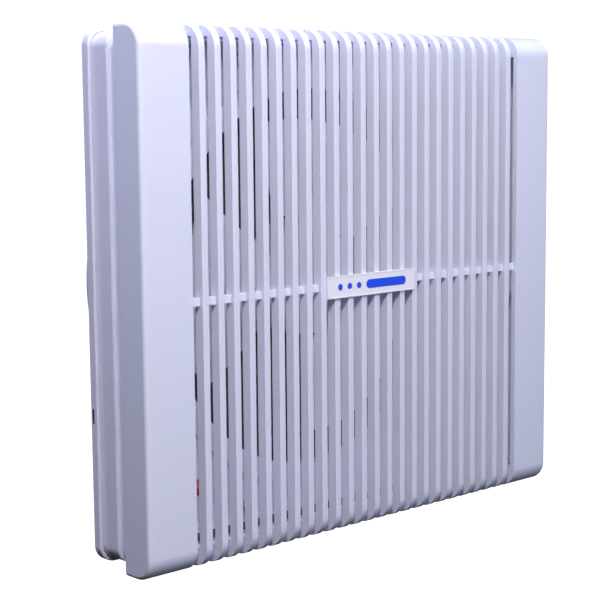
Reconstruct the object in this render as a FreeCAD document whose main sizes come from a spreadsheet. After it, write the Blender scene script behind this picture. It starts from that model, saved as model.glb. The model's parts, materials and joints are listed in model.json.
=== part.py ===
"""Through-the-wall heat recovery unit: a shallow slatted room casing on a wall plate, with a reversing
axial fan, a filter, a regenerator core and a rear shutter in a short round sleeve behind it.

Frame: millimetres, +Z up. The origin is the centre of the wall plate's rear face, which lies on the wall.
The room side is -Y, and the sleeve runs into the wall along +Y.
"""

import FreeCAD, Part
import math
import os
import re

from FreeCAD import Placement, Rotation, Vector

DIMENSIONS = [
    # slatted cover
    ("cover_width", 306, "outer width of the cover"),
    ("cover_height", 272, "outer height of the cover"),
    ("cover_front", -48, "front face of the slats"),
    ("cover_rear", -28, "rear rim of the cover"),
    ("cover_round", 11.5, "rounding of the top and bottom front edges"),
    ("cover_edge", 2.2, "soft edge of the side panels"),
    ("shell", 3, "moulded wall of the cover"),
    ("slat_count", 24, "vertical slats"),
    ("slat_width", 4, "front width of a slat"),
    ("slat_pitch", 10, "distance from slat to slat"),
    ("slat_depth", 6, "depth of a slat behind its front face"),
    ("arm_top", 6, "height of a slat's upper arm"),
    ("arm_foot", 9.5, "height of a slat's lower arm"),
    ("rail_front", -36.5, "where the slots end and the rails begin"),
    ("rail_rear", -34.5, "rear face of the grille's rails"),
    ("tie_height", 4, "height of the tie bar between the slats"),
    ("tie_recess", 2, "how far the tie bar lies behind the slat fronts"),
    ("badge_width", 66, "badge plate"),
    ("badge_height", 12, "badge plate"),
    ("badge_thick", 1.2, "badge plate"),
    ("badge_rim", 0.8, "raised border of the badge"),
    ("badge_recess", 0.3, "recess inside the badge's border"),
    ("peg_radius", 1.8, "pegs that hold the badge on the slats"),
    ("mark_relief", 0.35, "relief of the badge's inlay"),
    ("mark_left", -2, "left end of the inlay's bar, without its rounding"),
    ("mark_right", 24, "right end of the inlay's bar, without its rounding"),
    ("mark_round", 2.4, "end radius of the inlay's bar"),
    ("dot_radius", 1.7, "dots of the inlay"),
    ("clip_z", 90, "snap clips, from the middle"),
    ("clip_height", 14, "snap clip"),
    ("clip_thick", 1.7, "snap clip"),
    ("clip_front", -36, "front of a snap clip, in the hollow of the side panel"),
    # rear casing and wall plate
    ("box_width", 300, "casing"),
    ("box_height", 266, "casing"),
    ("box_front", -18, "step between the casing's neck and its box"),
    ("box_rear", -2, "rear face of the casing's back panel"),
    ("box_corner", 8, "corner radius of the casing"),
    ("neck_inset", 2, "neck inside the box, on each side"),
    ("neck_front", -34, "front rim of the neck"),
    ("casing_wall", 2.5, "wall and back panel of the casing"),
    ("plate_width", 304, "wall plate"),
    ("plate_height", 270, "wall plate"),
    ("plate_front", -5, "front edge of the wall plate's rim"),
    ("plate_corner", 9, "corner radius of the wall plate"),
    ("plate_web", 2, "thickness of the wall plate's web"),
    ("plate_hole_x", 130, "wall screw holes, from the middle"),
    ("plate_hole_z", 114, "wall screw holes, from the middle"),
    ("plate_hole_radius", 2.75, "wall screw holes"),
    ("casing_screw_x", 60, "casing screws, from the middle"),
    ("casing_screw_z", 121, "casing screws, from the middle"),
    ("seat_gap", 0.1, "round the casing's box inside the wall plate's rim"),
    ("slot_height", 8, "release slot in the rim's left side, level with the cable entry"),
    ("slot_front", -2.6, "front edge of the release slot"),
    ("slot_rear", -0.5, "rear edge of the release slot"),
    ("plug_recess", 0.4, "how far the slot's plug lies below the rim"),
    ("entry_x", -136, "cable entry behind the control box"),
    ("entry_z", -59, "cable entry behind the control box"),
    ("entry_window", 20, "width and height of the window in the web behind the cable entry"),
    ("boss_radius", 5, "screw bosses of the casing"),
    ("boss_length", 7, "screw bosses of the casing"),
    ("screw_hole", 2.2, "radius of a casing screw's hole"),
    ("screw_radius", 2, "casing screw"),
    ("screw_head", 4, "radius of a casing screw's head"),
    ("screw_head_thick", 2.4, "casing screw's head"),
    ("cross_width", 1.1, "slots of a casing screw's cross recess"),
    ("lip_thick", 2, "lower lip behind the slats"),
    ("strip_gap", 2.2, "foam strip above the slats' lower arms"),
    ("strip_height", 3.7, "foam strip"),
    ("strip_thick", 2, "foam strip"),
    ("entry_hole", 4.9, "radius of the grommet's hole"),
    # air path
    ("mouth_radius", 106.5, "bore of the bell mouth"),
    ("mouth_lip", 119, "outer radius of the bell mouth's flange"),
    ("mouth_flange", 2.2, "thickness of the bell mouth's flange"),
    ("mouth_round", 1.9, "rounding of the bell mouth's front edges"),
    ("seal_thick", 4.5, "seal round the sleeve"),
    ("seal_rear", 5.5, "rear end of the seal round the sleeve"),
    ("sleeve_bore", 109, "inner radius of the wall sleeve"),
    ("sleeve_wall", 2.4, "wall of the sleeve"),
    ("sleeve_rear", 62, "rear end of the sleeve"),
    ("root_rear", 6.5, "rear end of the sleeve's slimmer root, where the seal sits"),
    ("root_step", 0.8, "how much slimmer the root is, in radius"),
    ("shroud_bore", 92.5, "bore of the fan shroud"),
    ("shroud_front", 5, "front of the fan shroud"),
    ("shroud_rear", 26, "rear of the fan shroud"),
    ("shroud_wall", 2, "walls of the fan housing"),
    ("strut_count", 4, "struts that hold the motor"),
    ("strut_width", 8, "struts that hold the motor"),
    ("motor_plate", 25, "radius of the plate in the middle of the struts"),
    ("motor_plate_thick", 3, "plate and struts"),
    ("blade_count", 3, "fan blades"),
    ("blade_rise", 15, "axial rise of a blade from edge to edge"),
    ("blade_phase", 190, "angle of the first blade, from +X towards +Z"),
    ("root_chord", 52, "width of a blade at the hub"),
    ("tip_chord", 138, "width of a blade at the tip, before its corners are rounded off"),
    ("blade_tip", 89.5, "tip radius of the fan"),
    ("hub_radius", 33, "outer radius of the fan hub"),
    ("hub_front", 0, "front face of the fan hub"),
    ("hub_rear", 20, "rear edge of the fan hub"),
    ("hub_wall", 2.8, "wall of the fan hub"),
    ("cap_radius", 13, "cap on the fan hub"),
    ("cap_height", 3.2, "cap on the fan hub"),
    ("shaft_radius", 2.5, "motor shaft"),
    ("shaft_rear", 22.9, "rear end of the motor shaft"),
    ("shaft_gap", 0.05, "clearance of the bearings on the shaft"),
    ("clip_ring", 4.3, "outer radius of the ring that keeps the shaft in"),
    ("cup_wall", 1.2, "wall of the rotor cup"),
    ("magnet_thick", 3.2, "rotor magnet"),
    ("bearing_radius", 5, "motor bearings"),
    ("bearing_length", 4, "motor bearings"),
    ("bearing_front", 5.6, "front of the front bearing"),
    ("bearing_second", 17.8, "front of the rear bearing"),
    ("tube_radius", 7, "bearing tube"),
    ("tube_flange", 20, "flange of the bearing tube"),
    ("tube_flange_thick", 1.2, "flange of the bearing tube"),
    ("pole_count", 6, "stator poles"),
    ("pole_width", 4, "stator pole"),
    ("pole_tip", 24.8, "outer radius of the stator"),
    ("yoke_radius", 11, "stator yoke"),
    ("stack_front", 7, "front of the stator's stack"),
    ("stack_rear", 18, "rear of the stator's stack"),
    ("coil_inner", 13, "inner end of a winding"),
    ("coil_outer", 21.6, "outer end of a winding"),
    ("coil_thick", 2.2, "winding beside its pole"),
    ("coil_over", 1.8, "winding over the end of the stack"),
    ("coil_round", 1.2, "rounded corners of a winding"),
    ("motor_board_radius", 24, "ring board of the motor"),
    ("motor_board_front", 20.2, "ring board of the motor"),
    ("motor_board_rear", 21.6, "ring board of the motor"),
    ("motor_screw_count", 3, "motor screws"),
    ("motor_screw_at", 15, "motor screws, from the axis"),
    ("filter_front", 27, "front of the filter"),
    ("filter_rear", 30, "rear of the filter"),
    ("core_front", 31, "front of the regenerator core"),
    ("core_rear", 50, "rear of the regenerator core"),
    ("core_radius", 104, "regenerator core"),
    ("core_pitch", 13, "distance between the core's channels"),
    ("core_channel", 5.4, "corner radius of a hexagonal channel"),
    ("core_skin", 1.5, "least wall outside the outer channels"),
    ("filter_rim", 8, "width of the filter's frame"),
    ("media_inset", 0.8, "filter medium behind the faces of its frame"),
    # rear shutter
    ("frame_front", 51, "rear frame"),
    ("frame_thick", 3, "rear frame plate"),
    ("window", 136, "square opening of the rear frame"),
    ("collar_wall", 2, "collar round the opening"),
    ("flap_count", 4, "shutter flaps"),
    ("flap_pitch", 34, "distance from flap to flap"),
    ("flap_thick", 1.6, "shutter flap"),
    ("flap_axis_y", 58.8, "pivot line of the flaps"),
    ("flap_axis_drop", 2.5, "pivot below the flap's upper edge"),
    ("pivot_radius", 1.5, "flap pivots"),
    ("link_offset", 6, "link pins in front of the pivot line"),
    ("link_x", 59, "middle of the link bar"),
    ("link_thick", 2, "link bar"),
    ("link_depth", 2.4, "link bar"),
    ("link_end", 2, "link bar beyond its last pins"),
    ("pin_radius", 0.85, "pins of the link bar"),
    ("pin_gap", 0.1, "clearance round the pins"),
    ("pivot_gap", 0.06, "clearance round the pivots"),
    ("flap_gap", 0.5, "clearance above a flap's upper edge"),
    ("flap_space", 0.9, "gap between a flap and the next one"),
    ("lug_thick", 1.5, "lug that takes a link pin"),
    ("lug_gap", 0.3, "clearance between the link bar and a lug"),
    ("actuator_width", 10, "shutter actuator"),
    # control box
    ("control_left", -144, "control box"),
    ("control_right", -116, "control box"),
    ("control_low", -104, "control box"),
    ("control_high", -44, "control box"),
    ("control_front", -28, "front rim of the control box"),
    ("lamp_x", -96, "pilot lamp"),
    ("lamp_z", -103.2, "pilot lamp"),
    ("lamp_radius", 4.25, "pilot lamp lens"),
    ("lamp_base", 8.5, "length of the lamp's holder"),
    ("lamp_dome", 5.5, "length of the lamp's lens"),
    ("tray_wall", 1.5, "wall of the control box"),
    ("lid_thick", 1.6, "lid of the control box"),
    ("board_gap", 3, "gap between the board and the control box"),
    ("board_length", 33, "control board"),
    ("board_rise", 3.4, "rear face of the board above the back panel"),
    ("board_thick", 1.6, "control board"),
    ("terminal_count", 3, "terminals"),
    ("terminal_length", 20, "terminal block"),
    ("terminal_height", 11, "terminal block"),
    ("terminal_drop", 9, "top of the terminal block below the control box's edge"),
    ("terminal_hole", 2, "terminal screw openings"),
    ("grommet_flange", 6.5, "radius of the grommet's flange"),
    ("grommet_neck", 4.8, "radius of the grommet's neck"),
    ("cable_bore", 3, "radius of the grommet's bore"),
]

doc = FreeCAD.newDocument("HeatRecoveryUnit")
sheet = doc.addObject("Spreadsheet::Sheet", "Dims")
for row, (alias, size, note) in enumerate(DIMENSIONS, start=1):
    sheet.set("A%d" % row, alias)
    sheet.set("B%d" % row, str(size))
    sheet.set("C%d" % row, note)
    sheet.setAlias("B%d" % row, alias)
doc.recompute()

SIZE = {alias: float(size) for alias, size, _ in DIMENSIONS}
ALIAS = re.compile(r"\b(%s)\b" % "|".join(SIZE))
ALONG_Y = Rotation(Vector(1, 0, 0), -90)
ALONG_X = Rotation(Vector(0, 1, 0), 90)
pieces = []


def bind(item, prop, formula):
    """Bind a property to a formula in the sheet's aliases."""
    item.setExpression(prop, ALIAS.sub(r"Dims.\1", str(formula)))


def new_body(label):
    body = doc.addObject("PartDesign::Body", label)
    body.Label = label
    pieces.append(body)
    return body


def place(item, x, y, z):
    for axis, formula in zip("xyz", (x, y, z)):
        bind(item, "Placement.Base." + axis, formula)


def block(body, x, y, z, cut=False):
    """A box between low and high formulas on each axis, added to a body or cut from it."""
    kind = "Subtractive" if cut else "Additive"
    item = body.newObject("PartDesign::%sBox" % kind, body.Label + "_block")
    for prop, (low, high) in zip(("Length", "Width", "Height"), (x, y, z)):
        bind(item, prop, "(%s) - (%s)" % (high, low))
    place(item, x[0], y[0], z[0])
    return item


def disc(body, radius, y, x="0", z="0", cut=False):
    """A cylinder along Y between two formulas, added to a body or cut from it."""
    kind = "Subtractive" if cut else "Additive"
    item = body.newObject("PartDesign::%sCylinder" % kind, body.Label + "_disc")
    item.Placement = Placement(Vector(), ALONG_Y)
    bind(item, "Radius", radius)
    bind(item, "Height", "(%s) - (%s)" % (y[1], y[0]))
    place(item, x, y[0], z)
    return item


def rod(body, radius, x, y, z, cut=False):
    """A cylinder along X between two formulas, added to a body or cut from it."""
    kind = "Subtractive" if cut else "Additive"
    item = body.newObject("PartDesign::%sCylinder" % kind, body.Label + "_rod")
    item.Placement = Placement(Vector(), ALONG_X)
    bind(item, "Radius", radius)
    bind(item, "Height", "(%s) - (%s)" % (x[1], x[0]))
    place(item, x[0], y, z)
    return item


def half(formula):
    """Low and high formulas of a span that is centred on zero."""
    return "-(%s) / 2" % formula, "(%s) / 2" % formula


def fillet(body, radius, chosen):
    """Round the edges of the body's newest feature for which chosen(edge) is true."""
    doc.recompute()
    base = body.Tip
    names = ["Edge%d" % n for n, edge in enumerate(base.Shape.Edges, 1) if chosen(edge)]
    if not names:
        raise RuntimeError("no edge to round on " + body.Label)
    item = body.newObject("PartDesign::Fillet", body.Label + "_fillet")
    item.Base = (base, names)
    bind(item, "Radius", radius)
    return item


def spans(edge, axis):
    """How far an edge reaches along one axis."""
    box = edge.BoundBox
    return {"x": box.XLength, "y": box.YLength, "z": box.ZLength}[axis]


def along(edge, axis):
    """True for a straight edge that is parallel to one axis."""
    return spans(edge, axis) > 0.5 and all(spans(edge, other) < 0.01 for other in "xyz" if other != axis)


def origin_item(body, role):
    return next(item for item in body.Origin.OriginFeatures if item.Role == role)


def line_pattern(body, original, axis, length, count):
    item = body.newObject("PartDesign::LinearPattern", body.Label + "_row")
    item.Originals = [original]
    item.Direction = (origin_item(body, axis), [""])
    bind(item, "Length", length)
    bind(item, "Occurrences", count)
    body.Tip = item
    return item


def polar_pattern(body, original, count):
    item = body.newObject("PartDesign::PolarPattern", body.Label + "_ring")
    item.Originals = [original]
    item.Axis = (origin_item(body, "Y_Axis"), [""])
    item.Angle = 360
    bind(item, "Occurrences", count)
    body.Tip = item
    return item


def tube(label, outer, bore, y):
    """A plain ring about the fan's axis."""
    body = new_body(label)
    disc(body, outer, y)
    disc(body, bore, ("%s - 1" % y[0], "%s + 1" % y[1]), cut=True)
    return body


def shape_piece(label, shape):
    """A piece made directly from a shape."""
    item = doc.addObject("Part::Feature", label)
    item.Shape = shape
    item.Label = label
    pieces.append(item)
    return item


def y_cylinder(radius, low, high, x=0.0, z=0.0):
    return Part.makeCylinder(radius, high - low, Vector(x, low, z), Vector(0, 1, 0))


def make_cover():
    """The cover's frame, its slatted grille, the badge and the snap clips."""
    field = "slat_pitch * slat_count + slat_pitch - slat_width"
    inside = "cover_height - 2 * shell"
    frame = new_body("cover_frame")
    block(frame, half("cover_width"), ("cover_front", "cover_rear"), half("cover_height"))
    front = SIZE["cover_front"]
    fillet(frame, "cover_round", lambda e: along(e, "x") and abs(e.CenterOfMass.y - front) < 0.1)
    side = SIZE["cover_width"] / 2

    def outer_side_edge(edge):
        flat = abs(abs(edge.CenterOfMass.x) - side) < 0.01 and spans(edge, "x") < 0.01
        return flat and edge.BoundBox.YMin < SIZE["cover_rear"] - 0.1

    fillet(frame, "cover_edge", outer_side_edge)
    block(frame, half(field), ("cover_front - 1", "rail_front"), half("cover_height + 2"), cut=True)
    block(frame, half(field), ("rail_front - 1", "cover_rear + 1"), half(inside), cut=True)
    panel = ("%s + shell" % half(field)[1], "cover_width / 2 - shell")
    hollow = block(frame, panel, ("cover_front + cover_round", "cover_rear + 1"), half(inside), cut=True)
    upper = "cover_height / 2 - cover_round"
    deep = ("cover_front + shell", "cover_front + cover_round + 1")
    deeper = block(frame, panel, deep, ("-(%s)" % upper, upper), cut=True)
    for original in (hollow, deeper):
        mirror = frame.newObject("PartDesign::Mirrored", "cover_frame_mirror")
        mirror.Originals = [original]
        mirror.MirrorPlane = (origin_item(frame, "YZ_Plane"), [""])
        frame.Tip = mirror
    behind = half("%s + 2 * shell" % field)
    block(frame, behind, ("rail_rear", "cover_rear + 1"), half(inside), cut=True)

    grille = new_body("slat_grille")
    block(grille, half(field), ("cover_front", "rail_rear"), half("cover_height"))
    fillet(grille, "cover_round", lambda e: along(e, "x") and abs(e.CenterOfMass.y - front) < 0.1)
    free = ("-cover_height / 2 + arm_foot", "cover_height / 2 - arm_top")
    wide = half("%s + 2" % field)
    block(grille, wide, ("cover_front + slat_depth", "rail_rear + 1"), free, cut=True)
    outer_row = "cover_height / 2 - shell"
    for low, high in ((outer_row, "cover_height"), ("-cover_height", "-(%s)" % outer_row)):
        block(grille, wide, ("rail_front", "rail_rear + 1"), (low, high), cut=True)
    start = half(field)[0]
    gap = (start, "%s + slat_pitch - slat_width" % start)
    slot = block(grille, gap, ("cover_front - 1", "rail_front"), half("cover_height + 2"), cut=True)
    line_pattern(grille, slot, "X_Axis", "slat_pitch * slat_count", "slat_count + 1")
    tie = ("cover_front + tie_recess", "cover_front + slat_depth")
    block(grille, half(field), tie, half("tie_height"))

    badge = new_body("badge_plate")
    badge_front = "cover_front - badge_thick"
    block(badge, half("badge_width"), (badge_front, "cover_front"), half("badge_height"))
    pocket = (badge_front + " - 1", badge_front + " + badge_recess")
    block(badge, half("badge_width - 2 * badge_rim"), pocket, half("badge_height - 2 * badge_rim"), cut=True)
    for x in ("-2 * slat_pitch", "2 * slat_pitch"):
        disc(badge, "peg_radius", ("cover_front - badge_thick / 2", "cover_front + tie_recess"), x=x)

    inlay_back = SIZE["cover_front"] - SIZE["badge_thick"] + SIZE["badge_recess"]
    inlay_front = inlay_back - SIZE["mark_relief"]
    left, right, end = SIZE["mark_left"], SIZE["mark_right"], SIZE["mark_round"]
    bar = Part.makeBox(right - left, SIZE["mark_relief"], 2 * end, Vector(left, inlay_front, -end))
    rounds = [y_cylinder(end, inlay_front, inlay_back, x) for x in (left, right)]
    marks = [bar.fuse(rounds).removeSplitter()]
    for x in (-24, -17, -10):
        marks.append(y_cylinder(SIZE["dot_radius"], inlay_front, inlay_back, x))
    shape_piece("badge_inlay", Part.makeCompound(marks))

    clips = []
    thick, height = SIZE["clip_thick"], SIZE["clip_height"]
    length = SIZE["cover_rear"] - SIZE["clip_front"]
    for side in (SIZE["shell"] - SIZE["cover_width"] / 2, SIZE["cover_width"] / 2 - SIZE["shell"] - thick):
        for z in (-SIZE["clip_z"], SIZE["clip_z"]):
            clip = Part.makeBox(thick, length, height, Vector(side, SIZE["clip_front"], z - height / 2))
            rear = [e for e in clip.Edges if along(e, "x") and e.CenterOfMass.y > SIZE["cover_rear"] - 0.1]
            clips.append(clip.makeFillet(1.0, rear))
    shape_piece("cover_clips", Part.makeCompound(clips))


def make_casing():
    """The stepped rear casing with its back panel, the bell mouth and the foam strip."""
    casing = new_body("rear_casing")
    neck = half("box_width - 2 * neck_inset")
    block(casing, neck, ("neck_front", "box_rear"), half("box_height - 2 * neck_inset"))
    fillet(casing, "box_corner - 1", lambda e: along(e, "y"))
    block(casing, half("box_width"), ("box_front", "box_rear"), half("box_height"))
    side = SIZE["box_width"] / 2
    fillet(casing, "box_corner", lambda e: along(e, "y") and abs(abs(e.CenterOfMass.x) - side) < 0.01)
    inner_x = half("box_width - 2 * neck_inset - 2 * casing_wall")
    inner_z = half("box_height - 2 * neck_inset - 2 * casing_wall")
    block(casing, inner_x, ("neck_front - 1", "box_rear - casing_wall"), inner_z, cut=True)
    limit = SIZE["box_width"] / 2 - SIZE["neck_inset"] - SIZE["casing_wall"] + 0.1
    fillet(casing, "box_corner - 3",
           lambda e: along(e, "y") and abs(e.CenterOfMass.x) < limit and spans(e, "y") > 20)
    disc(casing, "sleeve_bore - 0.5", ("box_rear - 10", "box_rear + 1"), cut=True)
    strip_low = "-cover_height / 2 + arm_foot + strip_gap"
    lip = ("-box_height / 2 + neck_inset + 1", strip_low + " + strip_height + 0.1")
    block(casing, half("box_width - 2 * neck_inset - 2"), ("neck_front", "neck_front + lip_thick"), lip)
    panel_front = "box_rear - casing_wall"
    for x in (-1, 1):
        for z in (-1, 1):
            middle = ("%d * casing_screw_x" % x, "%d * casing_screw_z" % z)
            disc(casing, "boss_radius", (panel_front + " - boss_length", panel_front + " + 0.5"), *middle)
            bored = (panel_front + " - boss_length - 1", "box_rear + 1")
            disc(casing, "screw_hole", bored, *middle, cut=True)
            hole = ("%d * plate_hole_x" % x, "%d * plate_hole_z" % z)
            disc(casing, "plate_hole_radius", (panel_front + " - 1", "box_rear + 1"), *hole, cut=True)
    disc(casing, "entry_hole", ("box_rear - 2 * casing_wall", "box_rear + 1"), "entry_x", "entry_z", cut=True)

    mouth = new_body("bell_mouth")
    disc(mouth, "mouth_lip", (panel_front + " - mouth_flange", panel_front))
    disc(mouth, "sleeve_bore - 0.6", (panel_front + " - 0.5", "shroud_front - 1"))
    disc(mouth, "mouth_radius", ("neck_front", "sleeve_rear"), cut=True)
    mouth_front = SIZE["box_rear"] - SIZE["casing_wall"] - SIZE["mouth_flange"]
    fillet(mouth, "mouth_round", lambda e: abs(e.BoundBox.YMin - mouth_front) < 0.01 and spans(e, "y") < 0.01)

    strip = new_body("front_seal")
    strip_x = half("slat_pitch * slat_count")
    strip_z = (strip_low, strip_low + " + strip_height")
    block(strip, strip_x, ("neck_front - strip_thick", "neck_front"), strip_z)

    screws = []
    slit = SIZE["cross_width"]
    reach = 1.25 * SIZE["screw_head"]
    for x in (-1, 1):
        for z in (-1, 1):
            spot = (x * SIZE["casing_screw_x"], z * SIZE["casing_screw_z"])
            boss = SIZE["box_rear"] - SIZE["casing_wall"] - SIZE["boss_length"]
            top = boss - SIZE["screw_head_thick"]
            head = y_cylinder(SIZE["screw_head"], top, boss, *spot)
            cross = []
            for across, up in ((reach, slit), (slit, reach)):
                corner = Vector(spot[0] - across / 2, top - 0.2, spot[1] - up / 2)
                cross.append(Part.makeBox(across, 1.4, up, corner))
            shank = y_cylinder(SIZE["screw_radius"], boss, -0.2, *spot)
            screws.append(head.cut(cross).fuse(shank))
    shape_piece("casing_screws", Part.makeCompound(screws))


def make_wall_side():
    """The wall plate that the casing sits in, the plug of its release slot, the sleeve and its seal."""
    plate = new_body("wall_plate")
    block(plate, half("plate_width"), ("plate_front", "0"), half("plate_height"))
    seat_x = half("box_width + 2 * seat_gap")
    seat_z = half("box_height + 2 * seat_gap")
    block(plate, seat_x, ("plate_front - 1", "-plate_web"), seat_z, cut=True)
    side = SIZE["plate_width"] / 2
    fillet(plate, "box_corner", lambda e: along(e, "y") and abs(e.CenterOfMass.x) < side - 1)
    fillet(plate, "plate_corner", lambda e: along(e, "y") and abs(abs(e.CenterOfMass.x) - side) < 0.01)
    through = ("2 * plate_front", "-plate_front")
    disc(plate, "sleeve_bore + sleeve_wall - root_step + 0.1", through, cut=True)
    for x in (-1, 1):
        for z in (-1, 1):
            spot = ("%d * plate_hole_x" % x, "%d * plate_hole_z" % z)
            disc(plate, "plate_hole_radius", through, *spot, cut=True)
            pilot = ("%d * casing_screw_x" % x, "%d * casing_screw_z" % z)
            disc(plate, "screw_radius", through, *pilot, cut=True)
    window_x = ("entry_x - entry_window / 2", "entry_x + entry_window / 2")
    window_z = ("entry_z - entry_window / 2", "entry_z + entry_window / 2")
    block(plate, window_x, through, window_z, cut=True)
    slot_y = ("slot_front", "slot_rear")
    slot_z = ("entry_z - slot_height / 2", "entry_z + slot_height / 2")
    rim_inside = "-box_width / 2 - seat_gap"
    block(plate, ("-plate_width / 2 - 1", rim_inside), slot_y, slot_z, cut=True)
    plug = new_body("slot_plug")
    block(plug, ("-plate_width / 2 + plug_recess", rim_inside), slot_y, slot_z)

    sleeve = new_body("wall_sleeve")
    outside = "sleeve_bore + sleeve_wall"
    root = outside + " - root_step"
    disc(sleeve, root, ("box_rear", "root_rear"))
    disc(sleeve, outside, ("root_rear", "sleeve_rear"))
    disc(sleeve, "sleeve_bore", ("box_rear - 1", "sleeve_rear + 1"), cut=True)
    tube("sleeve_seal", outside + " + seal_thick", root, ("0", "seal_rear"))


def blade_section(radius, chord, lean, thick):
    """A cambered blade outline in the plane at one distance from the fan's axis, as a closed wire."""
    middle = (SIZE["hub_front"] + SIZE["hub_rear"]) / 2
    pitch = math.asin(SIZE["blade_rise"] / chord)
    outward = Vector(math.cos(lean), 0, math.sin(lean))
    sideways = Vector(-math.sin(lean), 0, math.cos(lean))
    steps = 6
    faces = []
    for side in (1, -1):
        points = []
        for n in range(steps + 1):
            share = n / steps
            run = (share - 0.5) * chord
            bulge = 4 * share * (1 - share)
            lift = 0.05 * chord * bulge + side * (0.25 + 0.75 * bulge) * thick / 2
            across = run * math.cos(pitch) + lift * math.sin(pitch)
            depth = run * math.sin(pitch) - lift * math.cos(pitch)
            points.append(outward * radius + sideways * across + Vector(0, middle + depth, 0))
        faces.append(points)
    upper, lower = Part.BSplineCurve(), Part.BSplineCurve()
    upper.interpolate(faces[0])
    lower.interpolate(faces[1][::-1])
    tail = Part.LineSegment(faces[0][-1], faces[1][-1])
    nose = Part.LineSegment(faces[1][0], faces[0][0])
    return Part.Wire([upper.toShape(), tail.toShape(), lower.toShape(), nose.toShape()])


def make_fan():
    """The turning group: impeller, cap, rotor, magnet, shaft and clip."""
    count = int(SIZE["blade_count"])
    hub, tip = SIZE["hub_radius"], SIZE["blade_tip"]
    phase = math.radians(SIZE["blade_phase"])
    sections = []
    for share in (0.0, 0.5, 1.0):
        radius = hub - 3 + (tip - hub + 3) * share
        chord = SIZE["root_chord"] + (SIZE["tip_chord"] - SIZE["root_chord"]) * share
        sections.append(blade_section(radius, chord, phase - 0.15 * share, 2.6 - 0.8 * share))
    blade = Part.makeLoft(sections, True, False)
    blade = blade.common(y_cylinder(tip, -40, 60))
    turned = []
    for n in range(count):
        copy = blade.copy()
        copy.rotate(Vector(0, 0, 0), Vector(0, 1, 0), n * 360.0 / count)
        turned.append(copy)
    shell = y_cylinder(hub, SIZE["hub_front"], SIZE["hub_rear"])
    rounded = [e for e in shell.Edges if abs(e.BoundBox.YMax - SIZE["hub_front"]) < 0.01]
    shell = shell.makeFillet(2.5, rounded[:1])
    wall = SIZE["hub_wall"]
    hollow = y_cylinder(hub - wall, SIZE["hub_front"] + wall, SIZE["shroud_rear"])
    bore = y_cylinder(SIZE["shaft_radius"], SIZE["hub_front"] - 1, SIZE["hub_rear"])
    shape_piece("impeller", shell.fuse(turned).cut([hollow, bore]).removeSplitter())

    cap = new_body("hub_cap")
    disc(cap, "cap_radius", ("hub_front - cap_height", "hub_front"))
    cap_front = SIZE["hub_front"] - SIZE["cap_height"]
    fillet(cap, "cap_height - 0.6", lambda e: abs(e.BoundBox.YMax - cap_front) < 0.01)
    disc(cap, "shaft_radius", ("hub_front - cap_height / 2", "hub_front + 1"), cut=True)

    cup = new_body("rotor_cup")
    cup_front = "hub_front + hub_wall + 0.2"
    disc(cup, "hub_radius - 3", (cup_front, "hub_rear - 0.5"))
    disc(cup, "hub_radius - 3 - cup_wall", (cup_front + " + cup_wall + 0.2", "hub_rear + 1"), cut=True)
    disc(cup, "shaft_radius", ("hub_front", "hub_rear"), cut=True)
    magnet = "hub_radius - 3 - cup_wall"
    tube("rotor_magnet", magnet, magnet + " - magnet_thick", ("stack_front - 1", "stack_rear + 1"))
    shaft = new_body("motor_shaft")
    disc(shaft, "shaft_radius", ("hub_front - cap_height / 2", "shaft_rear"))
    tube("retaining_clip", "clip_ring", "shaft_radius", ("shaft_rear - 0.7", "shaft_rear - 0.1"))


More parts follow.
